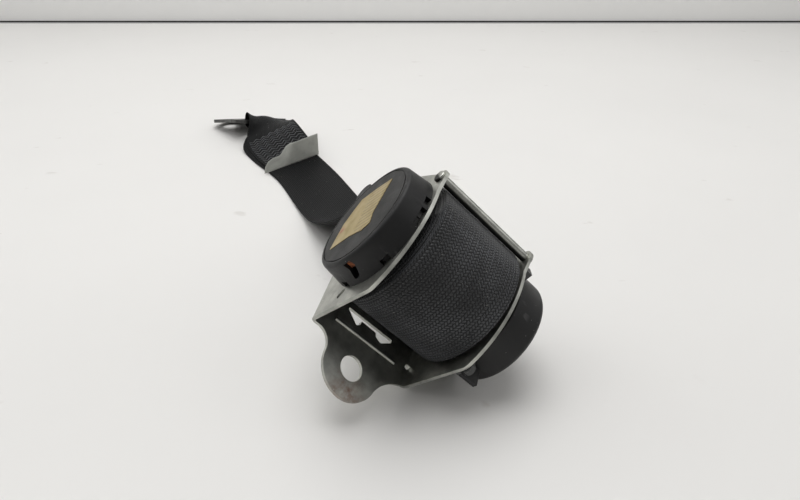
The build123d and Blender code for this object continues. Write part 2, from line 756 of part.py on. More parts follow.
def make_end_anchor():
    """Stamped steel plate with the webbing slot and the bolt hole, folded a little between them."""
    rail_x = anchor_slot_length / 2 + anchor_rail
    corner = anchor_bar / 2
    slot_end = anchor_bar / 2 + anchor_slot
    rounds = [Pos(0, anchor_hole_y) * Circle(anchor_tip_radius)]
    for side in (-1, 1):
        for y in (0, slot_end - 1):
            rounds.append(Pos(side * (rail_x - corner), y) * Circle(corner))
    outline = make_hull((Sketch() + rounds).edges())
    slot = RectangleRounded(anchor_slot_length, anchor_slot, 1.5)
    outline -= Pos(0, anchor_bar / 2 + anchor_slot / 2) * slot
    reach = anchor_hole_y + anchor_tip_radius + 5
    half = anchor_thick / 2
    stamped = extrude(Plane.XY.offset(-half) * outline, amount=anchor_thick)
    near = stamped & block(-rail_x - 1, rail_x + 1, -reach, anchor_fold_y, -half, half)
    far = stamped & block(-rail_x - 1, rail_x + 1, anchor_fold_y, reach, -half, half)
    far -= Pos(0, anchor_hole_y, 0) * Cylinder(anchor_hole_radius, 3 * anchor_thick)
    fold_line = Pos(0, anchor_fold_y, 0)
    far = fold_line * Rot(anchor_fold, 0, 0) * Pos(0, -anchor_fold_y, 0) * far
    fold_strip = stamped & block(-rail_x, rail_x, anchor_fold_y - 0.01, anchor_fold_y + 0.01, -half, half)
    bend = fold_line * Rot(0, 90, 0) * Cylinder(half, fold_strip.bounding_box().size.X - 0.1)
    return anchor_location() * (near + bend + far)


def make_fabric_label():
    """Bare fabric label, a flap that stands on the strap and leans back over the sewn end."""
    foot = Vector(*label_foot[:3])
    head = Vector(*label_head[:3])
    rise = head - foot
    sections = []
    for row in (label_foot, label_head):
        sections.append(station(*row, rise) * Rectangle(label_width, label_thick))
    return loft(sections, ruled=True)


if __name__ == "__main__":
    os.makedirs("parts", exist_ok=True)
    pieces = {
        "bracket": make_bracket(),
        "tie_bar": make_tie_bar(),
        "spool": make_spool(),
        "webbing_pin": make_webbing_pin(),
        "webbing_pack": make_webbing_pack(),
        "spool_shaft": make_spool_shaft(),
        "left_bush": make_left_bush(),
        "cassette_plate": make_cassette_plate(),
        "spring_cover": make_spring_cover(),
        "spiral_spring": make_spiral_spring(),
        "spring_arbor": make_arbor(),
        "cassette_pins": make_push_pins([on_circle(push_pin_circle, a) for a in push_pin_angles], -1),
        "cover_label": make_cover_label(),
        "locking_base": make_locking_base(),
        "lock_pawl": make_lock_pawl(),
        "lock_gear": make_lock_gear(),
        "gear_spring": make_gear_spring(),
        "flywheel": make_flywheel(),
        "lock_housing": make_lock_housing(),
        "housing_pins": make_push_pins(ear_places(), 1),
        "lock_cover": make_lock_cover(),
        "right_bush": make_right_bush(),
        "sensor_housing": make_sensor_housing(),
        "sensor_ball": make_sensor_ball(),
        "sensor_lever": make_sensor_lever(),
        "lever_pin": make_lever_pin(),
    }
    placed = {name: lie * piece for name, piece in pieces.items()}
    placed["webbing_strap"] = make_webbing_strap()
    placed["fabric_label"] = make_fabric_label()
    placed["end_anchor"] = make_end_anchor()
    box = Compound(children=[solid for piece in placed.values() for solid in piece.solids()]).bounding_box()
    to_origin = Pos(-(box.min.X + box.max.X) / 2, -(box.min.Y + box.max.Y) / 2, -box.min.Z)
    for name, piece in placed.items():
        export_step(to_origin * piece, f"parts/{name}.step")
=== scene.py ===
"""Looks of a removed rear seat belt: a locking reel in a folded bracket, its free webbing and end plate."""

import random
from math import atan2, cos, pi, radians, sin

import bmesh
import bpy
from mathutils import Matrix, Vector


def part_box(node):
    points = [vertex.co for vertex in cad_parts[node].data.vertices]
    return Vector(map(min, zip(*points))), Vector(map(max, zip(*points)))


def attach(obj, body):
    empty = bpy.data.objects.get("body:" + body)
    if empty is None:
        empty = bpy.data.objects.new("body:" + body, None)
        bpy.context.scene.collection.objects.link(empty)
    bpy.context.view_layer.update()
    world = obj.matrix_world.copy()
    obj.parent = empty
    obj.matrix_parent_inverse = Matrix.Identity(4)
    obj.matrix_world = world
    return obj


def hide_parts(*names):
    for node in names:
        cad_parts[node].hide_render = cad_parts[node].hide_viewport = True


bl_info = {
    "name": "Seat Belt Reel",
    "version": (1, 0, 0),
    "blender": (4, 5, 0),
    "location": "View3D > Sidebar > Seat Belt",
    "description": "Builds the bracket, covers, webbing, labels and end plate of a seat belt reel",
    "category": "Add Mesh",
}

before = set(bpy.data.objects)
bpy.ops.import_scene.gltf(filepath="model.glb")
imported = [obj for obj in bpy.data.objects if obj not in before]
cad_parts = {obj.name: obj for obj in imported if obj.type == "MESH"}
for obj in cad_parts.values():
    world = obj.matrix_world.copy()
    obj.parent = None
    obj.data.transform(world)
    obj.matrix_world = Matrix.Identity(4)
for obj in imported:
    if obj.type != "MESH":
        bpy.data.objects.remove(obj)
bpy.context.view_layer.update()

# The reel lies with its spool axis tilted down to the lock side and rolled back about it.
AXIS_TILT = radians(45.0)
REEL_ROLL = radians(-67.5)
pack_low, pack_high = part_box("webbing_pack")
REEL_CENTRE = (pack_low + pack_high) / 2
REEL_TURN = Matrix.Rotation(AXIS_TILT, 4, "Y") @ Matrix.Rotation(REEL_ROLL, 4, "X")
REEL = Matrix.Translation(REEL_CENTRE) @ REEL_TURN
GROUND = Vector((REEL_CENTRE.x, REEL_CENTRE.y, 0.0))

# Sizes of the solids that the dressed pieces sit on, in metres
WEB_WIDTH = 0.047
WEB_THICK = 0.0011
PACK_RADIUS = 0.0310
CORE_RADIUS = 0.017
COVER_LEFT_X = -0.0399
TAB_HOLE = Vector((-0.0016, 0.0333, -0.0424))
# The tie bar's side towards the roll is painted black as shade up to the first of these distances from the
# spool axis, and bright from the second
TIE_BAR_SHADE_RADII = (0.0330, 0.0340)

# Ruled lines on the cover label: pitch, share that is dark, and where they begin and end across the reel's y
RULE_PITCH = 0.0024
RULE_SHARE = 0.2
RULES_FROM = -0.011
RULES_TO = 0.0015
# Two dull red fields on the cover label, across the reel's y and z, and where they begin to fade and end
RED_FIELDS = ((0.0142, 0.0120), (0.0140, -0.0016))
RED_REACH = (0.0008, 0.0024)
# Brown bloom below the tab's hole: its middle from the hole, and where it begins and has faded out
BLOOM_OFFSET = Vector((0.002, 0.0, -0.011))
BLOOM_REACH = (0.003, 0.013)
# Middle and half length of the stretch of painted sheen under the tie bar, along the outer turn
PAINTED_SHEEN_STRETCH = (radians(150.0) * PACK_RADIUS, 0.014)
# Rounded edges of the strap and the end plate
STRAP_EDGE = 0.0003
ANCHOR_EDGE = 0.0004
# Keeps the weave's counts above zero
WEAVE_OFFSET = 1000.0
LABEL_THREAD_PITCH = 0.00035

# Ends of the wound turns: the step by which the outer ones stand back at the left, and their rounded edges
LEFT_LEAN = 0.0004
LEANING_TURNS = 3
OUTER_ROUND = 0.0003
INNER_ROUND = 0.0005
FLAT_STRETCH = (0.3, 0.7)
TURN_GAP = 0.00002
ROLL_STEPS = 120

# Where the strap leaves the roll, in the reel's own axes
EXIT_GAP = 0.0002
EXIT_HEIGHTS = (0.002, 0.018, 0.033)
EXIT_BEND_RADIUS = 0.022
EXIT_BEND = radians(50.0)

# Centre of the strap (x, y, z) in metres from the point below the reel, its heading and bank in degrees
STRAP_ROUTE = (
    (-0.022, 0.080, 0.0285, 8, 38),
    (-0.035, 0.106, 0.0155, 15, 24),
    (-0.048, 0.133, 0.0064, 21, 10),
    (-0.0590, 0.162, 0.0017, 23, 1.5),
    (-0.0735, 0.1955, 0.0007, 23.6, 0),
    (-0.0865, 0.226, 0.0007, 24.5, 0),
)
SEWN_ROUTE = (
    (-0.100, 0.250, 0.0026, 28, -3),
    (-0.111, 0.269, 0.0064, 30, -12),
    (-0.121, 0.287, 0.0094, 30, -18),
    (-0.128, 0.302, 0.0113, 34, -17),
    (-0.131, 0.315, 0.0118, 44, -8),
    (-0.132, 0.326, 0.0112, 54, 5),
)
# How far each ply of the sewn end lies to the left of that route, and where the upper ply ends
LOWER_SHIFT = (0.0020, 0.0050, 0.0065, 0.0085, 0.0070, 0.0025)
UPPER_SHIFT = (0.0010, 0.0020, 0.0025, 0.0030, 0.0030, 0.0030)
UPPER_SLACK = 0.0030
UPPER_END = (-0.1012, 0.2530, 0.0036, 38.5, -4)
PLY_GAP = 0.00008
# How the loop's upper side is pulled out of line: heights, and the shares of the width that they reach over
CORNER_RISE = 0.0062
CORNER_SHARE = 0.32
CROWN_RISE = 0.0022
CROWN_SHARE = 0.85
CORNER_DIP = 0.0020
DIP_FROM = 0.45
# Where that pull begins and fades, in stations before the strap's end, and over how many it does so
PULL_FROM = 9.0
PULL_GROWTH = 2.5
PULL_TO = 5.2
PULL_FADE = 3.0

# The end plate's bar, its heading and bank in degrees, and the loop round it
ANCHOR_PLACE = Vector((-0.141, 0.3335, 0.0109))
ANCHOR_HEADING = 60.0
ANCHOR_BANK = 14.0
ANCHOR_DROP = -0.12
LOOP_RADIUS = 0.0041
LOOP_WIDTH = 0.046

# The seam: its gap to the cut end and its length in stations, its margin and span as shares of the width
SEAM_GAP = 0.10
SEAM_LENGTH = 3.0
SEAM_MARGIN = 0.04
SEAM_SPAN = 0.92
# How far a stitch swings, in stations, what chance adds to it, and how deep its low end sinks
STITCH_SWING = 0.075
STITCH_CHANCE = 0.03
STITCH_SINK = 0.0004
# Height of the thread's middle above the cloth, as a share of its diameter
THREAD_PROUD = 0.25

# Foot and head lines of the cloth label, given as the strap's route is, and how far its foot is sunk
LABEL_FOOT = (-0.1006, 0.2495, 0.0046, 38.5, -5)
LABEL_HEAD = (-0.0998, 0.2520, 0.0150, 36, -20)
LABEL_SUNK = 0.0010
LABEL_WIDTH = 0.046
LABEL_THICK = 0.0004
# Where its upper left corner has fallen to, from the left end of its foot
LABEL_TIP = Vector((-0.0042, -0.0045, -0.0002))
# Shares of the width over which the label turns upright and reaches its full height
LABEL_UPRIGHT = 0.16
LABEL_FULL = 0.38
# Its pocket and its waves stand out to the back
LABEL_BACK = Vector((-0.47, 0.88, 0.0))
POCKET_MIDDLE = 0.30
POCKET_REACH = 0.12
POCKET_DEPTH = 0.0030
CURL_DEPTH = 0.0010
CURL_WAVES = 7

# The stage: table and wall in metres, lamps and camera from the reel's centre
STAGE_WIDTH = 5.0
TABLE_DEPTH = 4.0
TABLE_TOP = -0.0002
WALL_AWAY = 0.934
WALL_HEIGHT = 1.2
WALL_SETBACK = 0.012
FOOT_HEIGHT = 0.0024
FOOT_SETBACK = 0.011
# Name, place, diameter in metres and power in watts
LAMPS = (
    ("ceiling", (0.0, 0.30, 1.30), 1.2, 11.2),
    ("window", (-1.0, 0.15, 0.9), 1.0, 4.2),
    ("room", (1.0, 0.1, 0.7), 1.0, 1.9),
)
ROOM_COLOR = (1.0, 0.995, 0.985, 1.0)
ROOM_STRENGTH = 0.28
CAMERA_PLACE = (-0.0131, -0.2256, 0.1416)
CAMERA_TILT = radians(60.0)
SENSOR_WIDTH = 36.0
LENS = 27.26


# Shader helpers

def add_node(tree, kind, plain=None, **inputs):
    """Adds one shader node, sets its plain properties, and sets or links its named inputs."""
    node = tree.nodes.new(kind)
    for key, value in (plain or {}).items():
        setattr(node, key, value)
    for key, value in inputs.items():
        by_number = key[0] == "i" and key[1:].isdigit()
        socket = node.inputs[int(key[1:]) if by_number else key.replace("_", " ")]
        if isinstance(value, bpy.types.NodeSocket):
            tree.links.new(value, socket)
        else:
            socket.default_value = value
    return node


def calc(tree, operation, a, b=0.0, c=0.0):
    """Result of one Math node."""
    return add_node(tree, "ShaderNodeMath", {"operation": operation}, i0=a, i1=b, i2=c).outputs[0]


def times(tree, a, b):
    """Product of two values."""
    return calc(tree, "MULTIPLY", a, b)


def rescale(tree, value, low, high, to_low=0.0, to_high=1.0):
    """A value moved from one range to another and kept inside it."""
    return add_node(tree, "ShaderNodeMapRange", i0=value, i1=low, i2=high, i3=to_low, i4=to_high).outputs[0]


def noise(tree, vector, scale, detail, roughness=0.5):
    """Noise texture."""
    node = add_node(tree, "ShaderNodeTexNoise", Vector=vector, Scale=scale, Detail=detail,
                    Roughness=roughness)
    return node.outputs[0]


def split_axes(tree, place):
    """The x, y and z of a place."""
    return add_node(tree, "ShaderNodeSeparateXYZ", i0=place).outputs


def blend_colors(tree, share, first, second):
    """Colour between two others, by a share from 0 to 1."""
    node = add_node(tree, "ShaderNodeMix", {"data_type": "RGBA"}, i0=share, i6=first, i7=second)
    return node.outputs[2]


def lay_over(tree, base, color, mask, strength):
    """A colour laid over the base where the mask is, at some strength."""
    return blend_colors(tree, times(tree, mask, strength), base, color)


def scaled(color, factor):
    """A lighter or darker colour."""
    return tuple(min(1.0, factor * c) for c in color[:3]) + (1.0,)


def new_group(name, outputs, **floats):
    """Shader group with a Vector input and numbers with defaults; gives it, its inputs and its outputs."""
    group = bpy.data.node_groups.new(name, "ShaderNodeTree")
    group.interface.new_socket(name="Vector", in_out="INPUT", socket_type="NodeSocketVector")
    for label, default in floats.items():
        socket = group.interface.new_socket(name=label, in_out="INPUT", socket_type="NodeSocketFloat")
        socket.default_value = default
    for label in outputs:
        group.interface.new_socket(name=label, in_out="OUTPUT", socket_type="NodeSocketFloat")
    given = group.nodes.new("NodeGroupInput")
    result = group.nodes.new("NodeGroupOutput")
    return group, given.outputs, result.inputs


def effect(tree, name, **inputs):
    """Places a shared effect group in a material."""
    return add_node(tree, "ShaderNodeGroup", {"node_tree": bpy.data.node_groups[name]}, **inputs).outputs


def mottle(tree, place, scale, low, high, detail=4.0):
    """Mask of soft patches."""
    return effect(tree, "Mottle", Vector=place, Scale=scale, Detail=detail, Low=low, High=high)["Mask"]


# Shared effects

def build_mottle():
    """Soft patches: noise between two thresholds."""
    group, given, result = new_group("Mottle", ("Mask",), Scale=60.0, Detail=4.0, Low=0.4, High=0.6)
    patches = noise(group, given["Vector"], given["Scale"], given["Detail"], roughness=0.6)
    group.links.new(rescale(group, patches, given["Low"], given["High"]), result["Mask"])


def build_specks():
    """Small loose specks of dust or lint, in a random part of the cells."""
    group, given, result = new_group("Specks", ("Mask",), Scale=900.0, Size=0.18, Amount=0.1)
    cells = add_node(group, "ShaderNodeTexVoronoi", Vector=given["Vector"], Scale=given["Scale"]).outputs
    near = calc(group, "LESS_THAN", cells["Distance"], given["Size"])
    pick = add_node(group, "ShaderNodeSeparateColor", i0=cells["Color"]).outputs[0]
    chosen = calc(group, "LESS_THAN", pick, given["Amount"])
    group.links.new(times(group, near, chosen), result["Mask"])


def build_scratches():
    """Fine straight scratches, where stretched noise peaks."""
    group, given, result = new_group("Scratches", ("Mask",), Turn=0.6, Density=180.0, Cut=0.66)
    turned = add_node(group, "ShaderNodeVectorRotate", {"rotation_type": "AXIS_ANGLE"},
                      Vector=given["Vector"], Axis=(0.3, 0.6, 0.7), Angle=given["Turn"])
    thin = add_node(group, "ShaderNodeVectorMath", {"operation": "MULTIPLY"},
                    i0=turned.outputs[0], i1=(1.0, 0.06, 1.0))
    streaks = noise(group, thin.outputs[0], given["Density"], detail=3.0)
    gate = rescale(group, noise(group, given["Vector"], scale=45.0, detail=1.0), 0.5, 0.6)
    peak = rescale(group, streaks, given["Cut"], calc(group, "ADD", given["Cut"], 0.03))
    group.links.new(times(group, peak, gate), result["Mask"])


def build_moulded_grain():
    """Fine even grain of a moulded plastic skin."""
    group, given, result = new_group("Moulded grain", ("Height",), Scale=2600.0)
    fine = noise(group, given["Vector"], given["Scale"], detail=2.0)
    wide = noise(group, given["Vector"], scale=140.0, detail=1.0)
    group.links.new(calc(group, "MULTIPLY_ADD", wide, 1.5, fine), result["Height"])


def build_webbing_weave():
    """Herringbone of webbing: slanted warp floats in narrow columns that lean left and right in turn."""
    group, given, result = new_group("Webbing weave", ("Height", "Float"),
                                     Column=0.0013, Pick=0.0013, Slant=0.55)
    place = split_axes(group, given["Vector"])
    drift = noise(group, given["Vector"], scale=220.0, detail=1.0)
    across = calc(group, "DIVIDE", calc(group, "MULTIPLY_ADD", drift, 0.00035, place[0]), given["Column"])
    inside = calc(group, "FRACT", across)
    column = calc(group, "FLOOR", calc(group, "ADD", across, WEAVE_OFFSET))
    lean = calc(group, "MULTIPLY_ADD", calc(group, "MODULO", column, 2.0), 2.0, -1.0)
    shift = times(group, times(group, lean, given["Slant"]), inside)
    along = calc(group, "ADD", calc(group, "DIVIDE", place[1], given["Pick"]), shift)
    pick = calc(group, "FRACT", calc(group, "ADD", along, WEAVE_OFFSET))
    bead = calc(group, "SINE", times(group, pick, pi))
    rib = calc(group, "POWER", calc(group, "SINE", times(group, inside, pi)), 0.6)
    height = times(group, calc(group, "POWER", bead, 0.8), rib)
    group.links.new(height, result["Height"])
    group.links.new(rescale(group, height, 0.25, 0.75), result["Float"])


def build_effects():
    """All shared effect groups."""
    build_mottle()
    build_specks()
    build_scratches()
    build_moulded_grain()
    build_webbing_weave()


# Materials

def start_material(name, roughness, metallic=0.0, **plain):
    """New material with its Principled shader; plain values stay on the shader's own sockets."""
    material = bpy.data.materials.new(name)
    material.use_nodes = True
    tree = material.node_tree
    shader = tree.nodes["Principled BSDF"]
    shader.inputs["Roughness"].default_value = roughness
    shader.inputs["Metallic"].default_value = metallic
    for key, value in plain.items():
        shader.inputs[key.replace("_", " ")].default_value = value
    return material, tree, shader


def feed(tree, shader, **values):
    """Links values to the shader's inputs."""
    for key, value in values.items():
        tree.links.new(value, shader.inputs[key.replace("_", " ")])


def set_bump(tree, shader, height, strength, distance=0.0001):
    """Bump on the shader's normal."""
    bump = add_node(tree, "ShaderNodeBump", Strength=strength, Distance=distance, Height=height)
    feed(tree, shader, Normal=bump.outputs[0])


def object_place(tree):
    """Object coordinates."""
    return add_node(tree, "ShaderNodeTexCoord").outputs["Object"]


def reel_place(tree):
    """Object coordinates turned into the reel's own axes."""
    node = add_node(tree, "ShaderNodeMapping", {"vector_type": "TEXTURE"}, Vector=object_place(tree),
                    Location=REEL_CENTRE, Rotation=(REEL_ROLL, AXIS_TILT, 0.0))
    return node.outputs[0]


def cloth_place(tree):
    """The piece's own UV map, in metres across and along the cloth."""
    return add_node(tree, "ShaderNodeUVMap", {"uv_map": "cloth"}).outputs[0]


def near_point(tree, place, point, inner, outer):
    """Mask that is 1 within the inner distance of a point and fades out at the outer one."""
    gap = add_node(tree, "ShaderNodeVectorMath", {"operation": "DISTANCE"}, i0=place, i1=point)
    return rescale(tree, gap.outputs["Value"], inner, outer, to_low=1.0, to_high=0.0)


def zinc_plate_finish(color):
    """Greenish grey zinc plate: blotches, fine scratches, dust, and a brown bloom under the tab's hole."""
    material, tree, shader = start_material("zinc_plate", 0.36, 0.96)
    place = reel_place(tree)
    blotch = mottle(tree, place, scale=95.0, low=0.35, high=0.68, detail=5.0)
    base = blend_colors(tree, blotch, scaled(color, 0.72), scaled(color, 1.25))
    scratch = effect(tree, "Scratches", Vector=place, Turn=0.9, Density=240.0, Cut=0.64)["Mask"]
    base = lay_over(tree, base, (0.75, 0.75, 0.70, 1.0), scratch, strength=0.5)
    below_hole = near_point(tree, place, TAB_HOLE + BLOOM_OFFSET, *BLOOM_REACH)
    bloom = times(tree, below_hole, mottle(tree, place, scale=260.0, low=0.3, high=0.75))
    base = lay_over(tree, base, (0.20, 0.09, 0.055, 1.0), bloom, strength=0.85)
    dust = effect(tree, "Specks", Vector=place, Scale=700.0, Size=0.16, Amount=0.05)["Mask"]
    base = lay_over(tree, base, (0.7, 0.7, 0.66, 1.0), dust, strength=0.6)
    smears = mottle(tree, place, scale=180.0, low=0.3, high=0.7)
    rough = rescale(tree, smears, 0.0, 1.0, to_low=0.30, to_high=0.44)
    feed(tree, shader, Base_Color=base, Roughness=rough)
    set_bump(tree, shader, noise(tree, place, scale=1500.0, detail=2.0), strength=0.12)
    return material


def turned_steel_finish(name, color, roughness):
    """Bare steel with fine grain and a few darker patches."""
    material, tree, shader = start_material(name, roughness, 0.9)
    place = object_place(tree)
    patch = mottle(tree, place, scale=160.0, low=0.42, high=0.66, detail=5.0)
    feed(tree, shader, Base_Color=blend_colors(tree, patch, color, scaled(color, 0.55)))
    set_bump(tree, shader, noise(tree, place, scale=1800.0, detail=2.0), strength=0.15)
    return material


def tie_bar_finish(color):
    """Plated bar, bright outside, with painted shade that turns the side facing the roll black."""
    material, tree, shader = start_material("tie_bar_steel", 0.24, 0.92)
    place = reel_place(tree)
    y, z = split_axes(tree, place)[1:]
    ring = calc(tree, "SQRT", calc(tree, "MULTIPLY_ADD", y, y, times(tree, z, z)))
    # Painted shade: the side of the bar that faces the roll is coloured black, standing in for its shaded
    # underside
    inner = rescale(tree, ring, *TIE_BAR_SHADE_RADII, 1.0, 0.0)
    patch = mottle(tree, place, scale=160.0, low=0.42, high=0.66, detail=5.0)
    base = blend_colors(tree, patch, color, scaled(color, 0.7))
    base = lay_over(tree, base, (0.012, 0.012, 0.012, 1.0), inner, strength=0.93)
    feed(tree, shader, Base_Color=base, Roughness=rescale(tree, inner, 0.0, 1.0, to_low=0.24, to_high=0.5))
    return material


def black_moulding_finish(color):
    """Matt black moulding: fine grain, grey rub marks, light scratches and dust."""
    material, tree, shader = start_material("black_moulding", 0.5, Specular_IOR_Level=0.36)
    place = reel_place(tree)
    rub = mottle(tree, place, scale=55.0, low=0.42, high=0.75, detail=6.0)
    base = lay_over(tree, color, scaled(color, 1.9), rub, strength=0.6)
    scratch = effect(tree, "Scratches", Vector=place, Turn=1.4, Density=210.0, Cut=0.65)["Mask"]
    base = lay_over(tree, base, (0.20, 0.20, 0.20, 1.0), scratch, strength=0.35)
    dust = effect(tree, "Specks", Vector=place, Scale=900.0, Size=0.13, Amount=0.03)["Mask"]
    base = lay_over(tree, base, (0.35, 0.35, 0.34, 1.0), dust, strength=0.5)
    smears = mottle(tree, place, scale=120.0, low=0.3, high=0.7)
    rough = rescale(tree, smears, 0.0, 1.0, to_low=0.40, to_high=0.55)
    feed(tree, shader, Base_Color=base, Roughness=rough)
    grain = effect(tree, "Moulded grain", Vector=place, Scale=2600.0)["Height"]
    set_bump(tree, shader, grain, strength=0.18, distance=0.00012)
    return material


def plain_moulding_finish(name, color, roughness):
    """Natural or grey moulding with a fine grain and faint stains."""
    material, tree, shader = start_material(name, roughness)
    place = object_place(tree)
    stain = mottle(tree, place, scale=110.0, low=0.45, high=0.8)
    feed(tree, shader, Base_Color=blend_colors(tree, stain, color, scaled(color, 0.7)))
    set_bump(tree, shader, effect(tree, "Moulded grain", Vector=place, Scale=2200.0)["Height"], strength=0.15)
    return material


def webbing_finish(name, color, pitch, depth, painted_highlight, shine, sheen, sheen_stretch=None):
    """Black webbing: herringbone relief, painted highlight on the floats in patches with painted shade
    between, lint, and at most one stretch of painted sheen, smoothed and grey.
    """
    material, tree, shader = start_material(name, 0.52, Specular_IOR_Level=shine, Sheen_Weight=sheen,
                                            Sheen_Roughness=0.4, Sheen_Tint=(0.80, 0.84, 0.95, 1.0))
    place = cloth_place(tree)
    weave = effect(tree, "Webbing weave", Vector=place, Column=pitch, Pick=pitch)
    # Painted highlight: the raised floats are coloured paler in glint patches, and the gaps between them stay
    # dark as painted shade
    glint_patches = mottle(tree, place, scale=34.0, low=0.38, high=0.62, detail=3.0)
    painted_glint = times(tree, weave["Float"], rescale(tree, glint_patches, 0.0, 1.0, to_low=0.15, to_high=1.0))
    base = blend_colors(tree, painted_glint, color, scaled(color, painted_highlight))
    height = weave["Height"]
    # Painted sheen: a grey stretch of the outer turn under the tie bar, with its relief flattened there
    if sheen_stretch:
        middle, reach = sheen_stretch
        away = calc(tree, "ABSOLUTE", calc(tree, "SUBTRACT", split_axes(tree, place)[1], middle))
        smooth = rescale(tree, away, 0.4 * reach, reach, to_low=1.0, to_high=0.0)
        base = lay_over(tree, base, (0.065, 0.065, 0.063, 1.0), smooth, strength=0.8)
        height = times(tree, height, calc(tree, "SUBTRACT", 1.0, times(tree, smooth, 0.75)))
    lint = effect(tree, "Specks", Vector=place, Scale=480.0, Size=0.14, Amount=0.07)["Mask"]
    base = lay_over(tree, base, (0.35, 0.34, 0.31, 1.0), lint, strength=0.45)
    rough = rescale(tree, weave["Float"], 0.0, 1.0, to_low=0.75, to_high=0.42)
    feed(tree, shader, Base_Color=base, Roughness=rough)
    set_bump(tree, shader, height, depth, distance=0.0005)
    return material


def thread_finish(color):
    """Twisted sewing thread."""
    material, tree, shader = start_material("sewing_thread", 0.45, Sheen_Weight=0.3)
    wave = add_node(tree, "ShaderNodeTexWave", Vector=object_place(tree), Scale=900.0, Distortion=1.0)
    twist = wave.outputs["Fac"]
    feed(tree, shader, Base_Color=blend_colors(tree, twist, color, scaled(color, 2.0)))
    set_bump(tree, shader, twist, strength=0.3)
    return material


def label_film_finish(color):
    """Khaki stick-on film without text, rubbed darker in patches, with ruled lines and two red fields."""
    material, tree, shader = start_material("label_film", 0.36, Coat_Weight=0.1, Coat_Roughness=0.3)
    place = reel_place(tree)
    y, z = split_axes(tree, place)[1:]
    rub = mottle(tree, place, scale=170.0, low=0.40, high=0.72, detail=5.0)
    base = lay_over(tree, color, scaled(color, 0.62), rub, strength=0.5)
    lines = calc(tree, "LESS_THAN", calc(tree, "FRACT", calc(tree, "DIVIDE", z, RULE_PITCH)), RULE_SHARE)
    inside = times(tree, calc(tree, "GREATER_THAN", y, RULES_FROM), calc(tree, "LESS_THAN", y, RULES_TO))
    base = lay_over(tree, base, (0.075, 0.055, 0.03, 1.0), times(tree, lines, inside), strength=0.75)
    for red_y, red_z in RED_FIELDS:
        red = near_point(tree, place, (COVER_LEFT_X, red_y, red_z), *RED_REACH)
        base = lay_over(tree, base, (0.34, 0.06, 0.03, 1.0), red, strength=0.75)
    feed(tree, shader, Base_Color=base, Roughness=rescale(tree, rub, 0.0, 1.0, to_low=0.30, to_high=0.48))
    set_bump(tree, shader, rub, strength=0.1)
    return material


def label_cloth_finish(color):
    """Thin grey woven label, bare, with faint soiling."""
    material, tree, shader = start_material("label_cloth", 0.7, Sheen_Weight=0.15)
    place = cloth_place(tree)
    soil = mottle(tree, place, scale=130.0, low=0.42, high=0.74, detail=5.0)
    feed(tree, shader, Base_Color=lay_over(tree, color, scaled(color, 0.6), soil, strength=0.55))
    split = split_axes(tree, place)
    across, along = (calc(tree, "SINE", times(tree, split[k], 2 * pi / LABEL_THREAD_PITCH)) for k in (0, 1))
    set_bump(tree, shader, calc(tree, "ADD", across, along), strength=0.25, distance=0.00005)
    return material


def coated_steel_finish(color):
    """Dark phosphated steel plate, rubbed at random, with fine pits."""
    material, tree, shader = start_material("coated_steel", 0.42, 0.35)
    place = object_place(tree)
    rub = mottle(tree, place, scale=150.0, low=0.45, high=0.75, detail=6.0)
    feed(tree, shader, Base_Color=lay_over(tree, color, scaled(color, 3.0), rub, strength=0.7))
    set_bump(tree, shader, noise(tree, place, scale=1300.0, detail=3.0), strength=0.2)
    return material


def rusty_spring_finish(color):
    """Oiled spring strip with orange rust at its end."""
    material, tree, shader = start_material("rusty_spring", 0.55, 0.3)
    rust = mottle(tree, object_place(tree), scale=600.0, low=0.35, high=0.62, detail=5.0)
    feed(tree, shader, Base_Color=blend_colors(tree, rust, color, (0.07, 0.022, 0.01, 1.0)))
    set_bump(tree, shader, rust, strength=0.5, distance=0.0002)
    return material


def table_finish(color):
    """White laminated table with faint marks."""
    material, tree, shader = start_material("table_top", 0.55)
    place = object_place(tree)
    cloud = mottle(tree, place, scale=3.0, low=0.3, high=0.7, detail=3.0)
    base = blend_colors(tree, cloud, color, scaled(color, 0.97))
    marks = effect(tree, "Scratches", Vector=place, Turn=2.3, Density=55.0, Cut=0.69)["Mask"]
    feed(tree, shader, Base_Color=lay_over(tree, base, (0.45, 0.42, 0.38, 1.0), marks, strength=0.3))
    return material


def flat_finish(name, color, roughness):
    """Plain surface of the stage."""
    return start_material(name, roughness, Base_Color=color)[0]


# Mesh helpers

def link_piece(mesh, name, body, material, slot, *nodes):
    """Puts a finished mesh in the scene, riding on its body, in place of the nodes that it stands for."""
    piece = bpy.data.objects.new(name, mesh)
    bpy.context.scene.collection.objects.link(piece)
    mesh.materials.clear()
    mesh.materials.append(material)
    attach(piece, body)
    if nodes:
        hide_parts(*nodes)
    return piece


def mesh_from(form, name):
    """Closes a bmesh into a new mesh."""
    mesh = bpy.data.meshes.new(name)
    form.to_mesh(mesh)
    form.free()
    return mesh


def shade(mesh, angle):
    """Smooth shading with edges sharper than the angle left sharp."""
    mesh.shade_smooth()
    mesh.set_sharp_from_angle(angle=angle)


def soften_edges(piece, width, angle=radians(40.0)):
    """Small rounded edges on a piece, as a live bevel."""
    bevel = piece.modifiers.new("soft_edges", "BEVEL")
    bevel.width = width
    bevel.segments = 2
    bevel.limit_method = "ANGLE"
    bevel.angle_limit = angle
    bevel.miter_outer = "MITER_ARC"


def thicken(piece, thickness):
    """Gives a sheet its thickness, half on each side, as a live modifier."""
    wall = piece.modifiers.new("thickness", "SOLIDIFY")
    wall.thickness = thickness
    wall.offset = 0.0


def dress_solid(node, body, material, slot, edge=0.0):
    """A merged copy of a CAD solid with smooth shading and rounded edges."""
    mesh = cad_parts[node].data.copy()
    mesh.name = f"{node}_dressed"
    form = bmesh.new()
    form.from_mesh(mesh)
    bmesh.ops.remove_doubles(form, verts=form.verts, dist=2e-6)
    bmesh.ops.dissolve_limit(form, angle_limit=radians(0.6), verts=form.verts, edges=form.edges)
    form.to_mesh(mesh)
    form.free()
    shade(mesh, radians(35.0))
    piece = link_piece(mesh, mesh.name, body, material, slot, node)
    if edge:
        soften_edges(piece, edge)


# Routes

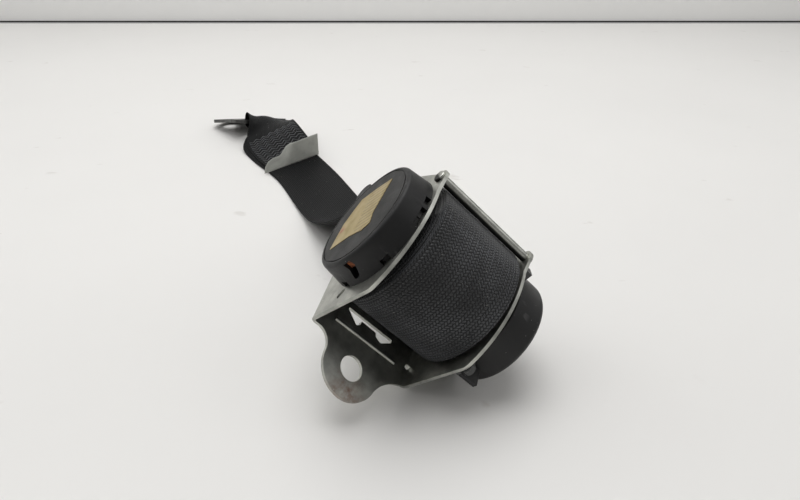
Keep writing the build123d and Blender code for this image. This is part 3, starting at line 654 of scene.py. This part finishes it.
def spline_point(points, t):
    """Point of a uniform cubic B-spline that starts and ends on the outer points."""
    last = len(points) - 1
    k = min(int(t), last - 1)
    f = t - k
    before = 2 * points[0] - points[1] if k == 0 else points[k - 1]
    after = 2 * points[last] - points[last - 1] if k == last - 1 else points[k + 2]
    weights = ((1 - f) ** 3 / 6, (3 * f ** 3 - 6 * f * f + 4) / 6,
               (-3 * f ** 3 + 3 * f * f + 3 * f + 1) / 6, f ** 3 / 6)
    return weights[0] * before + weights[1] * points[k] + weights[2] * points[k + 1] + weights[3] * after


class Ribbon:
    """A strip of webbing between two smooth edge lines, with its length measured along its middle."""

    # Steps from one station to the next in which the length is measured
    fine = 12

    def __init__(self, left, right):
        self.left = left
        self.right = right
        self.end = len(left) - 1
        self.lengths = [0.0]
        last = self.point(0.5, 0.0)
        for k in range(1, self.end * self.fine + 1):
            here = self.point(0.5, k / self.fine)
            self.lengths.append(self.lengths[-1] + (here - last).length)
            last = here

    def point(self, u, t):
        """Point at share u across and station t along."""
        return spline_point(self.left, t).lerp(spline_point(self.right, t), u)

    def normal(self, u, t):
        """Square to the strip at a point."""
        step = 0.02
        low, high = max(0.0, t - step), min(float(self.end), t + step)
        ahead = self.point(u, high) - self.point(u, low)
        across = spline_point(self.right, t) - spline_point(self.left, t)
        return across.cross(ahead).normalized()

    def length_at(self, t):
        """Length along the middle from the start to station t."""
        place = t * self.fine
        k = min(int(place), len(self.lengths) - 2)
        return self.lengths[k] + (place - k) * (self.lengths[k + 1] - self.lengths[k])


def width_axis(heading, bank):
    """Unit vector along the width of a strip, from its heading and bank in degrees."""
    h, b = radians(heading), radians(bank)
    return Vector((cos(h) * cos(b), sin(h) * cos(b), -sin(b)))


def both_ends(middle, axis, width):
    """Left and right end of a line of some width about its middle."""
    reach = axis * width / 2
    return middle - reach, middle + reach


def route_edges(route, lift, shifts, slack=0.0):
    """Edge points along a route, lifted off it; shifts move them left, slack lets the right edge lag."""
    places = [Vector(row[:3]) for row in route]
    last = len(route) - 1
    edges = []
    for k, (row, shift) in enumerate(zip(route, shifts)):
        ahead = places[min(k + 1, last)] - places[max(k - 1, 0)]
        across = width_axis(*row[3:])
        up = across.cross(ahead).normalized()
        left, right = both_ends(GROUND + places[k] + up * lift, across, WEB_WIDTH)
        side = (left - right).normalized()
        edges.append((left + side * shift, right + side * (shift - min(shift, slack))))
    return edges


def exit_edges():
    """Edge points from the wound roll's tangent out past the mounting plate."""
    y = PACK_RADIUS + EXIT_GAP + WEB_THICK / 2
    top = EXIT_HEIGHTS[-1]
    places = [(y, z) for z in EXIT_HEIGHTS]
    for share in (0.5, 1.0):
        turn = share * EXIT_BEND
        places.append((y + EXIT_BEND_RADIUS * (1 - cos(turn)), top + EXIT_BEND_RADIUS * sin(turn)))
    return [tuple(REEL @ Vector((side * WEB_WIDTH / 2, y, z)) for side in (-1, 1)) for y, z in places]


def anchor_axes():
    """Origin and axes of the end plate's bar: along the slot, towards the bolt hole, and up."""
    along = width_axis(ANCHOR_HEADING, ANCHOR_BANK)
    h = radians(ANCHOR_HEADING)
    up = along.cross(Vector((-sin(h), cos(h), ANCHOR_DROP))).normalized()
    return GROUND + ANCHOR_PLACE, along, up.cross(along), up


def loop_edges():
    """Edge points of the loop: under the bar, round it and back over."""
    origin, along, ahead, up = anchor_axes()
    edges = []
    for angle in range(-100, 101, 40):
        turn = radians(angle)
        middle = origin + LOOP_RADIUS * (cos(turn) * ahead + sin(turn) * up)
        edges.append(both_ends(middle, along, LOOP_WIDTH))
    return edges


def strap_ribbon():
    """The whole free strap as one strip: out of the roll, under the seam, round the bar and back over it."""
    lower = route_edges(STRAP_ROUTE + SEWN_ROUTE, 0.0, (0.0,) * len(STRAP_ROUTE) + LOWER_SHIFT)
    upper = route_edges((UPPER_END,) + SEWN_ROUTE[1:], WEB_THICK + PLY_GAP, UPPER_SHIFT, UPPER_SLACK)
    edges = exit_edges() + lower + loop_edges() + list(reversed(upper))
    return Ribbon([pair[0] for pair in edges], [pair[1] for pair in edges])


def ease(share):
    """Smooth step from 0 to 1."""
    share = min(1.0, max(0.0, share))
    return share * share * (3 - 2 * share)


def loop_pull(u, t, end):
    """Rise of the loop's upper side: its left corner stands up, its middle swells, its right corner dips."""
    grown = ease((t - end + PULL_FROM) / PULL_GROWTH)
    faded = ease((t - end + PULL_TO) / PULL_FADE)
    corner = CORNER_RISE * max(0.0, 1 - u / CORNER_SHARE) ** 2
    crown = CROWN_RISE * sin(pi * min(1.0, u / CROWN_SHARE))
    dip = CORNER_DIP * ease((u - DIP_FROM) / (1 - DIP_FROM))
    return grown * (1 - faded) * (corner + crown - dip)


def strap_point(ribbon, u, t):
    """Point of the strap as it lies, pulled out of line at its loop."""
    return ribbon.point(u, t) + Vector((0.0, 0.0, loop_pull(u, t, ribbon.end)))


def strap_mesh(ribbon, columns, rows):
    """The strap's sheet, with a UV map in metres."""
    form = bmesh.new()
    layer = form.loops.layers.uv.new("cloth")
    bmesh.ops.create_grid(form, x_segments=columns, y_segments=rows, size=0.5)
    places = {vert: (vert.co.x + 0.5, (vert.co.y + 0.5) * ribbon.end) for vert in form.verts}
    for face in form.faces:
        for loop in face.loops:
            u, t = places[loop.vert]
            loop[layer].uv = ((u - 0.5) * WEB_WIDTH, ribbon.length_at(t))
    for vert, (u, t) in places.items():
        vert.co = strap_point(ribbon, u, t)
    bmesh.ops.recalc_face_normals(form, faces=form.faces)
    mesh = mesh_from(form, "strap")
    mesh.shade_smooth()
    return mesh


def label_line(row, lift):
    """Both ends of one line of the cloth label, lifted straight up."""
    x, y, z, heading, bank = row
    return both_ends(GROUND + Vector((x, y, z + lift)), width_axis(heading, bank), LABEL_WIDTH)


# Settings

class BeltSizes(bpy.types.PropertyGroup):
    """Sizes that a user may want to change."""

    def length(name, text, value):
        """One length setting, in metres."""
        return bpy.props.FloatProperty(name=name, description=text, default=value, unit="LENGTH")

    edge: length("Plate edge", "Rounding of the bracket's cut edges", 0.00018)
    cover_edge: length("Cover edge", "Rounding of the covers' edges", 0.00025)
    layer_step: length("Layer step", "How far the turns of webbing stand back at most", 0.0009)
    thread: length("Thread", "Diameter of the sewing thread", 0.0010)
    seam_rows: bpy.props.IntProperty(name="Seam rows", description="Rows of zigzag thread", default=14)
    seam_pitch: length("Seam pitch", "Length of one zigzag stitch", 0.0032)
    label_height: length("Label height", "Height of the cloth label", 0.0180)


class BeltColors(bpy.types.PropertyGroup):
    """Colours that a user may want to change."""

    def tint(name, text, value):
        """One colour setting."""
        return bpy.props.FloatVectorProperty(name=name, description=text, default=value + (1.0,), size=4,
                                             subtype="COLOR", min=0.0, max=1.0)

    zinc: tint("Bracket", "Zinc plate of the bracket and its tie bar", (0.50, 0.505, 0.465))
    steel: tint("Steel", "Bare steel pieces", (0.56, 0.56, 0.54))
    cast: tint("Cast pieces", "Cast spool and locking base", (0.42, 0.42, 0.43))
    black: tint("Covers", "Black mouldings", (0.0065, 0.0065, 0.0068))
    grey: tint("Grey moulding", "Grey mouldings", (0.055, 0.056, 0.055))
    natural: tint("Natural moulding", "Undyed mouldings", (0.72, 0.70, 0.65))
    webbing: tint("Webbing", "Woven webbing", (0.0045, 0.0047, 0.0050))
    thread: tint("Thread", "Sewing thread", (0.030, 0.031, 0.034))
    film: tint("Cover label", "Stick-on label film", (0.36, 0.27, 0.10))
    cloth: tint("Cloth label", "Woven label", (0.38, 0.385, 0.35))
    anchor: tint("End plate", "Coated end plate", (0.045, 0.045, 0.043))
    rust: tint("Spring end", "Rusty end of the spring", (0.45, 0.14, 0.045))
    table: tint("Table", "Table top", (0.80, 0.79, 0.77))
    wall: tint("Wall", "Wall behind the table", (0.86, 0.855, 0.84))
    foot: tint("Wall foot", "Dark line at the wall's foot", (0.03, 0.028, 0.025))


class BeltOperator(bpy.types.Operator):
    """Common ground of the belt's operators."""

    bl_options = {"REGISTER", "UNDO"}


class BELT_OT_stage(BeltOperator):
    """Build the table, the wall behind it, the lights and the camera"""

    bl_idname = "belt.stage"
    bl_label = "Stage"

    def plane(self, name, depth, place, material, upright=False):
        """One flat sheet of the stage."""
        form = bmesh.new()
        bmesh.ops.create_grid(form, x_segments=1, y_segments=1, size=0.5)
        bmesh.ops.scale(form, vec=(STAGE_WIDTH, depth, 1.0), verts=form.verts)
        if upright:
            bmesh.ops.rotate(form, cent=(0, 0, 0), matrix=Matrix.Rotation(pi / 2, 3, "X"), verts=form.verts)
        bmesh.ops.translate(form, vec=(GROUND.x, *place), verts=form.verts)
        mesh = mesh_from(form, name)
        mesh.materials.append(material)
        sheet = bpy.data.objects.new(name, mesh)
        bpy.context.scene.collection.objects.link(sheet)

    def lamp(self, name, offset, size, power):
        """One soft area light aimed at the reel."""
        light = bpy.data.lights.new(name, "AREA")
        light.shape = "DISK"
        light.size = size
        light.energy = power
        holder = bpy.data.objects.new(name, light)
        bpy.context.scene.collection.objects.link(holder)
        place = REEL_CENTRE + Vector(offset)
        holder.location = place
        holder.rotation_euler = (REEL_CENTRE - place).to_track_quat("-Z", "Y").to_euler()

    def execute(self, context):
        colors = context.scene.belt_colors
        wall_y = GROUND.y + WALL_AWAY
        top = table_finish(tuple(colors.table))
        self.plane("table", TABLE_DEPTH, (wall_y - TABLE_DEPTH / 2, TABLE_TOP), top)
        foot = flat_finish("wall_foot", tuple(colors.foot), 0.9)
        self.plane("foot_strip", FOOT_HEIGHT, (wall_y + FOOT_SETBACK, FOOT_HEIGHT / 2), foot, upright=True)
        wall = flat_finish("wall_paint", tuple(colors.wall), 0.8)
        wall_place = (wall_y + WALL_SETBACK, FOOT_HEIGHT + WALL_HEIGHT / 2)
        self.plane("wall", WALL_HEIGHT, wall_place, wall, upright=True)
        for lamp in LAMPS:
            self.lamp(*lamp)
        world = bpy.data.worlds.new("room")
        world.use_nodes = True
        world.node_tree.nodes["Background"].inputs[0].default_value = ROOM_COLOR
        world.node_tree.nodes["Background"].inputs[1].default_value = ROOM_STRENGTH
        context.scene.world = world
        context.scene.view_settings.view_transform = "Standard"
        data = bpy.data.cameras.new("camera")
        data.sensor_width = SENSOR_WIDTH
        data.lens = LENS
        data.clip_start = 0.01
        camera = bpy.data.objects.new("camera", data)
        camera.location = REEL_CENTRE + Vector(CAMERA_PLACE)
        camera.rotation_euler = (CAMERA_TILT, 0.0, 0.0)
        context.scene.collection.objects.link(camera)
        context.scene.camera = camera
        return {"FINISHED"}


class BELT_OT_bracket(BeltOperator):
    """Dress the folded bracket and its tie bar"""

    bl_idname = "belt.bracket"
    bl_label = "Bracket"

    def execute(self, context):
        sizes = context.scene.belt_sizes
        color = tuple(context.scene.belt_colors.zinc)
        dress_solid("bracket", "reel_frame", zinc_plate_finish(color), "zinc_steel", sizes.edge)
        dress_solid("tie_bar", "reel_frame", tie_bar_finish(color), "bright_steel", sizes.edge)
        return {"FINISHED"}


class BELT_OT_covers(BeltOperator):
    """Dress the spring cover, the lock cover and the plastic pieces beside them"""

    bl_idname = "belt.covers"
    bl_label = "Covers"

    def execute(self, context):
        edge = context.scene.belt_sizes.cover_edge
        colors = context.scene.belt_colors
        black = black_moulding_finish(tuple(colors.black))
        for node in ("spring_cover", "lock_cover", "cassette_plate", "cassette_pins", "housing_pins"):
            dress_solid(node, "reel_frame", black, "black_plastic", edge)
        grey = plain_moulding_finish("grey_moulding", tuple(colors.grey), 0.5)
        dress_solid("lock_housing", "reel_frame", grey, "grey_plastic", edge)
        return {"FINISHED"}


class BELT_OT_inner_works(BeltOperator):
    """Finish the pieces inside the covers, which keep their own solids"""

    bl_idname = "belt.inner_works"
    bl_label = "Inner Works"

    def execute(self, context):
        colors = context.scene.belt_colors
        natural = plain_moulding_finish("natural_moulding", tuple(colors.natural), 0.45)
        steel = turned_steel_finish("turned_steel", tuple(colors.steel), 0.3)
        cast = turned_steel_finish("cast_zinc", tuple(colors.cast), 0.5)
        grey = bpy.data.materials["grey_moulding"]
        rust = rusty_spring_finish(tuple(colors.rust))
        finishes = {
            "left_bush": natural, "right_bush": natural, "spring_arbor": natural, "lock_gear": natural,
            "sensor_lever": natural, "sensor_housing": grey, "spool": cast, "locking_base": cast,
            "spool_shaft": steel, "webbing_pin": steel, "lock_pawl": steel, "flywheel": steel,
            "sensor_ball": steel, "lever_pin": steel, "gear_spring": steel, "spiral_spring": rust,
        }
        for node, material in finishes.items():
            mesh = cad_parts[node].data
            mesh.materials.clear()
            mesh.materials.append(material)
        return {"FINISHED"}


class BELT_OT_wound_webbing(BeltOperator):
    """Build the wound roll: its turns stand a little in and out at both ends"""

    bl_idname = "belt.wound_webbing"
    bl_label = "Wound Webbing"

    def profile(self, step):
        """Half section of the roll: up the turns' left edges, across the outer face and down the right."""
        chance = random.Random(7)
        half = WEB_WIDTH / 2
        turns = round((PACK_RADIUS - CORE_RADIUS) / WEB_THICK)
        pitch = (PACK_RADIUS - CORE_RADIUS) / turns
        left, right = [], []
        for side, sign, lean in ((left, -1, LEFT_LEAN), (right, 1, 0.0)):
            for k in range(turns):
                outer = PACK_RADIUS - k * pitch
                reach = half - lean * max(0, LEANING_TURNS - k) - (chance.uniform(0.0, step) if k else 0.0)
                side.append((sign * (reach - OUTER_ROUND), outer - TURN_GAP))
                for share in FLAT_STRETCH:
                    side.append((sign * reach, outer - pitch * share))
                side.append((sign * (reach - INNER_ROUND), outer - pitch + TURN_GAP))
        crown = [(x * half / 6, PACK_RADIUS) for x in range(-4, 5)]
        return list(reversed(left)) + crown + right

    def lay_map(self, form, layer):
        """UV map in metres: across the roll and round it."""
        for face in form.faces:
            middle = face.calc_center_median()
            base = atan2(middle.z, middle.y)
            for loop in face.loops:
                place = loop.vert.co
                angle = atan2(place.z, place.y)
                angle += 2 * pi * round((base - angle) / (2 * pi))
                radius = (place.y ** 2 + place.z ** 2) ** 0.5
                loop[layer].uv = (place.x, angle * radius)

    def execute(self, context):
        form = bmesh.new()
        layer = form.loops.layers.uv.new("cloth")
        profile = self.profile(context.scene.belt_sizes.layer_step)
        rings = []
        for step in range(ROLL_STEPS):
            turn = 2 * pi * step / ROLL_STEPS
            rings.append([form.verts.new((x, -r * sin(turn), r * cos(turn))) for x, r in profile])
        for ring, ahead in zip(rings, rings[1:] + rings[:1]):
            for k in range(len(profile) - 1):
                form.faces.new((ring[k], ring[k + 1], ahead[k + 1], ahead[k]))
        bmesh.ops.recalc_face_normals(form, faces=form.faces)
        self.lay_map(form, layer)
        bmesh.ops.transform(form, matrix=REEL, verts=form.verts)
        mesh = mesh_from(form, "wound_webbing")
        shade(mesh, radians(50.0))
        web = webbing_finish("wound_webbing_cloth", tuple(context.scene.belt_colors.webbing), pitch=0.0016,
                             depth=1.0, painted_highlight=15.0, shine=0.42, sheen=0.10, sheen_stretch=PAINTED_SHEEN_STRETCH)
        link_piece(mesh, "wound_webbing", "spool_group", web, "webbing", "webbing_pack")
        return {"FINISHED"}


class BELT_OT_strap(BeltOperator):
    """Build the free strap with its sewn loop, as one strip of webbing"""

    bl_idname = "belt.strap"
    bl_label = "Strap"

    def execute(self, context):
        sizes = context.scene.belt_sizes
        colors = context.scene.belt_colors
        ribbon = strap_ribbon()
        mesh = strap_mesh(ribbon, columns=24, rows=ribbon.end * 10)
        web = webbing_finish("strap_cloth", tuple(colors.webbing), pitch=0.0013, depth=0.25, painted_highlight=1.5,
                             shine=0.12, sheen=0.02)
        strap = link_piece(mesh, "strap", "reel_frame", web, "webbing", "webbing_strap")
        thicken(strap, WEB_THICK)
        soften_edges(strap, STRAP_EDGE, radians(60.0))
        seam = self.sew(context, ribbon, sizes, thread_finish(tuple(colors.thread)))
        label = self.cloth_label(sizes.label_height, label_cloth_finish(tuple(colors.cloth)))
        return {"FINISHED"}

    def sew(self, context, ribbon, sizes, thread):
        """Rows of zigzag thread that hold the two layers together."""
        chance = random.Random(3)
        lift = WEB_THICK / 2 + sizes.thread * THREAD_PROUD
        count = int(SEAM_SPAN * WEB_WIDTH / sizes.seam_pitch)
        data = bpy.data.curves.new("seam_line", "CURVE")
        data.dimensions = "3D"
        data.bevel_depth = sizes.thread / 2
        data.bevel_resolution = 1
        for row in range(sizes.seam_rows):
            t = ribbon.end - SEAM_GAP - SEAM_LENGTH * row / sizes.seam_rows
            line = data.splines.new("POLY")
            line.points.add(count)
            for k in range(count + 1):
                u = SEAM_MARGIN + SEAM_SPAN * k / count
                swing = STITCH_SWING if k % 2 else -STITCH_SWING
                swing += chance.uniform(-STITCH_CHANCE, STITCH_CHANCE)
                height = lift - (STITCH_SINK if k % 2 else 0.0)
                place = strap_point(ribbon, u, t + swing) + self.up_side(ribbon, u, t) * height
                line.points[k].co = (*place, 1.0)
        holder = bpy.data.objects.new("seam_line", data)
        context.scene.collection.objects.link(holder)
        context.view_layer.update()
        mesh = bpy.data.meshes.new_from_object(holder.evaluated_get(context.evaluated_depsgraph_get()))
        bpy.data.objects.remove(holder)
        mesh.name = "seam_thread"
        mesh.shade_smooth()
        return link_piece(mesh, "seam_thread", "reel_frame", thread, "webbing")

    def up_side(self, ribbon, u, t):
        """Normal of the upper layer, pointing up."""
        normal = ribbon.normal(u, t)
        return normal if normal.z > 0 else -normal

    def cloth_label(self, label_height, cloth):
        """Thin label that stands across the strap where the sewn end begins, its left corner fallen."""
        form = bmesh.new()
        layer = form.loops.layers.uv.new("cloth")
        bmesh.ops.create_grid(form, x_segments=60, y_segments=16, size=0.5)
        for face in form.faces:
            for loop in face.loops:
                loop[layer].uv = (loop.vert.co.x * LABEL_WIDTH, (loop.vert.co.y + 0.5) * label_height)
        foot = label_line(LABEL_FOOT, -LABEL_SUNK)
        head = label_line(LABEL_HEAD, 0.0)
        fallen = LABEL_TIP.normalized()
        for vert in form.verts:
            u = vert.co.x + 0.5
            v = vert.co.y + 0.5
            low = foot[0].lerp(foot[1], u)
            upright = (head[0].lerp(head[1], u) - low).normalized()
            rise = fallen.lerp(upright, ease(u / LABEL_UPRIGHT)).normalized()
            tall = LABEL_TIP.length + (label_height - LABEL_TIP.length) * min(1.0, u / LABEL_FULL)
            pocket = max(0.0, 1 - abs(u - POCKET_MIDDLE) / POCKET_REACH) * v * v
            curl = POCKET_DEPTH * pocket + CURL_DEPTH * sin(CURL_WAVES * u + 1.0) * v
            vert.co = low + rise * tall * v + LABEL_BACK * curl
        mesh = mesh_from(form, "cloth_label")
        mesh.shade_smooth()
        label = link_piece(mesh, "cloth_label", "reel_frame", cloth, "label_cloth", "fabric_label")
        thicken(label, LABEL_THICK)
        return label


class BELT_OT_cover_label(BeltOperator):
    """Dress the ruled label on the spring cover's face"""

    bl_idname = "belt.cover_label"
    bl_label = "Cover Label"

    def execute(self, context):
        film = label_film_finish(tuple(context.scene.belt_colors.film))
        dress_solid("cover_label", "reel_frame", film, "label_film")
        return {"FINISHED"}


class BELT_OT_end_anchor(BeltOperator):
    """Dress the steel end plate"""

    bl_idname = "belt.end_anchor"
    bl_label = "End Anchor"

    def execute(self, context):
        coat = coated_steel_finish(tuple(context.scene.belt_colors.anchor))
        dress_solid("end_anchor", "anchor_plate", coat, "dark_steel", ANCHOR_EDGE)
        return {"FINISHED"}


class BELT_PT_panel(bpy.types.Panel):
    """Sidebar panel that lists the belt's pieces"""

    bl_label = "Seat Belt"
    bl_idname = "BELT_PT_panel"
    bl_space_type = "VIEW_3D"
    bl_region_type = "UI"
    bl_category = "Seat Belt"

    def draw(self, context):
        layout = self.layout
        for operator in PIECES:
            layout.operator(operator.bl_idname)
        for group in (context.scene.belt_sizes, context.scene.belt_colors):
            for name in type(group).__annotations__:
                layout.prop(group, name)


PIECES = (BELT_OT_stage, BELT_OT_bracket, BELT_OT_covers, BELT_OT_inner_works, BELT_OT_wound_webbing,
          BELT_OT_strap, BELT_OT_cover_label, BELT_OT_end_anchor)
CLASSES = (BeltSizes, BeltColors) + PIECES + (BELT_PT_panel,)


def register():
    """Adds the classes and the scene's settings."""
    for kind in CLASSES:
        bpy.utils.register_class(kind)
    bpy.types.Scene.belt_sizes = bpy.props.PointerProperty(type=BeltSizes)
    bpy.types.Scene.belt_colors = bpy.props.PointerProperty(type=BeltColors)


def unregister():
    """Removes them again."""
    del bpy.types.Scene.belt_colors
    del bpy.types.Scene.belt_sizes
    for kind in reversed(CLASSES):
        bpy.utils.unregister_class(kind)


def main():
    """Builds the whole belt."""
    register()
    build_effects()
    for operator in PIECES:
        group, name = operator.bl_idname.split(".")
        getattr(getattr(bpy.ops, group), name)()


if __name__ == "__main__":
    main()
